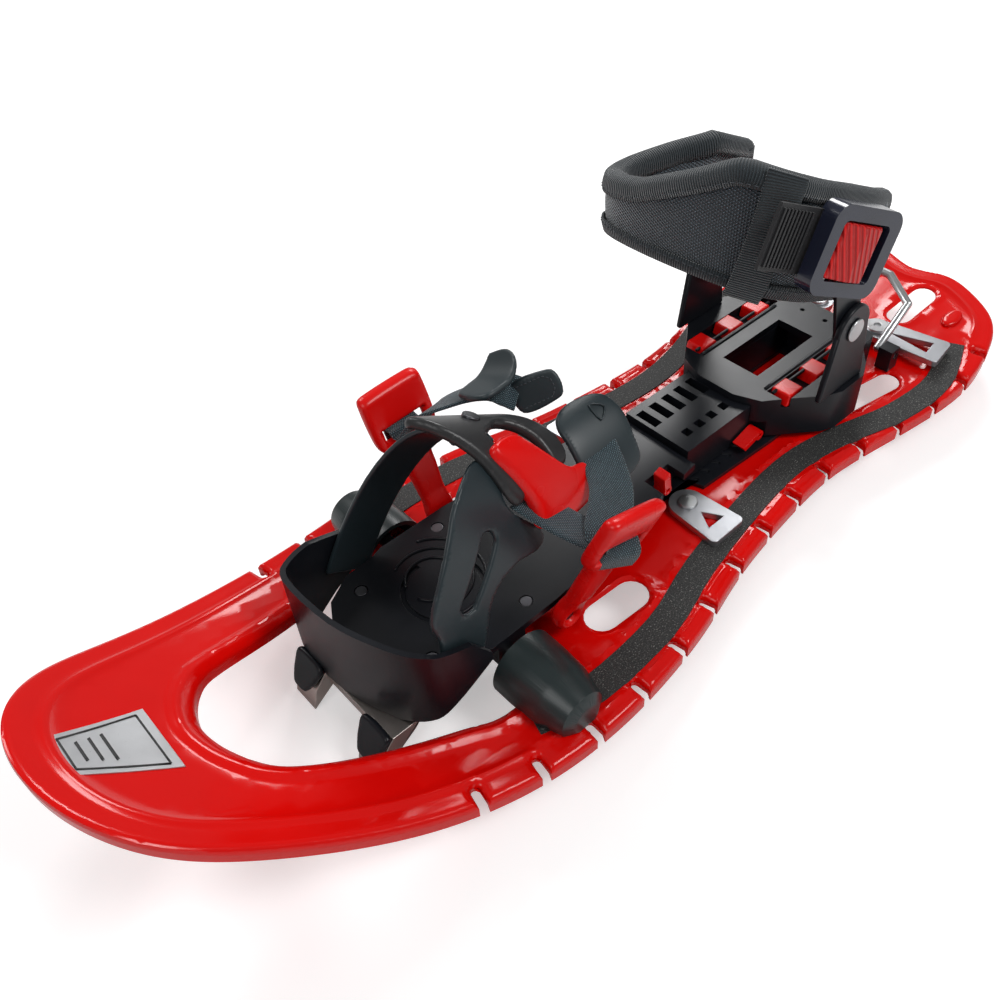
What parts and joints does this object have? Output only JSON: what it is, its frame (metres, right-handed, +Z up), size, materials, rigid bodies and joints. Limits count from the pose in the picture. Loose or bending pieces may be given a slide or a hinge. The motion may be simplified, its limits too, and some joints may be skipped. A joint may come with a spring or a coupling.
{
  "type": "snowshoe",
  "caption": "Moulded plastic snowshoe with a hinged boot binding, toe strap cam buckle, padded ratchet ankle cuff, heel lifter and steel spikes.",
  "frame": {"origin": "on the ground plane under the middle of the deck's length, on the centre line", "axes": "+X to the nose, +Y to the wearer's left, +Z up"},
  "size_m": [0.59, 0.1912, 0.198],
  "materials": {
    "deck_red": "glossy",
    "grip_black": "grained",
    "badge_alu": "brushed",
    "black_plastic": "satin",
    "steel": "satin",
    "cast_alu": "satin",
    "slate_rubber": "satin",
    "slate_plastic": "satin",
    "grey_plastic": "matte",
    "red_plastic": "glossy",
    "webbing": "woven",
    "cuff_fabric": "woven",
    "blue_grey_plastic": "glossy"
  },
  "bodies": {
    "deck": {"deck_shell": "deck_red", "flex_stripe_left": "grip_black", "flex_stripe_right": "grip_black", "nose_badge": "badge_alu", "deck_pad": "black_plastic", "pivot_axle": "steel", "pivot_cover_left": "slate_rubber", "pivot_cover_right": "slate_rubber", "front_bracket_left": "cast_alu", "front_bracket_right": "cast_alu", "rear_bracket_left": "cast_alu", "rear_bracket_right": "cast_alu", "bracket_rivets": "steel", "deck_spikes": "steel", "bail_clips": "black_plastic"},
    "binding": {"toe_plate": "black_plastic", "toe_cup": "slate_plastic", "toe_claw": "steel", "toe_screws": "steel", "rail": "black_plastic", "strap_arm_left": "slate_plastic", "strap_arm_right": "slate_plastic", "hoop_plate": "grey_plastic", "arm_bolt": "steel", "lever_pin": "steel", "strap_saddle": "slate_plastic", "instep_pad": "slate_plastic", "webbing_left": "webbing", "webbing_right": "webbing", "loop_rivets": "steel"},
    "loop_left": {"loop_left": "red_plastic"},
    "loop_right": {"loop_right": "red_plastic"},
    "toe_lever": {"toe_lever": "red_plastic"},
    "rail_latch": {"rail_latch": "red_plastic"},
    "heel": {"heel_plate": "black_plastic", "heel_grips": "red_plastic", "upright_left": "black_plastic", "upright_right": "black_plastic", "cuff_pins": "steel"},
    "heel_latch": {"heel_latch": "red_plastic"},
    "cuff": {"cuff_arm_left": "black_plastic", "cuff_arm_right": "black_plastic", "cuff_pad": "cuff_fabric", "ladder_strap": "black_plastic", "ratchet_frame": "blue_grey_plastic", "ratchet_pin": "steel"},
    "ratchet_button": {"ratchet_button": "red_plastic"},
    "heel_bail": {"heel_bail": "steel"}
  },
  "joints": [
    {"name": "binding_pivot", "type": "hinge", "parent": "deck", "child": "binding", "pos_m": [0.113, 0, 0.03], "axis": [0, 1, 0], "range_deg": [0, 50]},
    {"name": "loop_left_swing", "type": "hinge", "parent": "binding", "child": "loop_left", "pos_m": [0.084, 0.043, 0.038], "axis": [0, 1, 0], "range_deg": [-12, 12]},
    {"name": "loop_right_swing", "type": "hinge", "parent": "binding", "child": "loop_right", "pos_m": [0.084, -0.043, 0.038], "axis": [0, 1, 0], "range_deg": [-12, 12]},
    {"name": "toe_lever_open", "type": "hinge", "parent": "binding", "child": "toe_lever", "pos_m": [0.07593, 0.02117, 0.10529], "axis": [0.9303, 0.1652, 0.3276], "range_deg": [0, 70]},
    {"name": "rail_latch_press", "type": "hinge", "parent": "binding", "child": "rail_latch", "pos_m": [-0.008, 0.023, 0.038], "axis": [0, 1, 0], "range_deg": [-20, 15]},
    {"name": "heel_slide", "type": "slide", "parent": "binding", "child": "heel", "axis": [1, 0, 0], "range_m": [-0.006, 0.03]},
    {"name": "heel_latch_pull", "type": "hinge", "parent": "heel", "child": "heel_latch", "pos_m": [-0.08, 0.027, 0.033], "axis": [0, 1, 0], "range_deg": [-6, 6]},
    {"name": "cuff_pivot", "type": "hinge", "parent": "heel", "child": "cuff", "pos_m": [-0.121, 0, 0.093], "axis": [0, 1, 0], "range_deg": [-8, 20]},
    {"name": "ratchet_release", "type": "hinge", "parent": "cuff", "child": "ratchet_button", "pos_m": [-0.07553, 0.05399, 0.16177], "axis": [-0.4067, 0, 0.9135], "range_deg": [0, 6]},
    {"name": "bail_lift", "type": "hinge", "parent": "deck", "child": "heel_bail", "pos_m": [-0.19, 0, 0.036], "axis": [0, 1, 0], "range_deg": [-18, 54]}
  ]
}
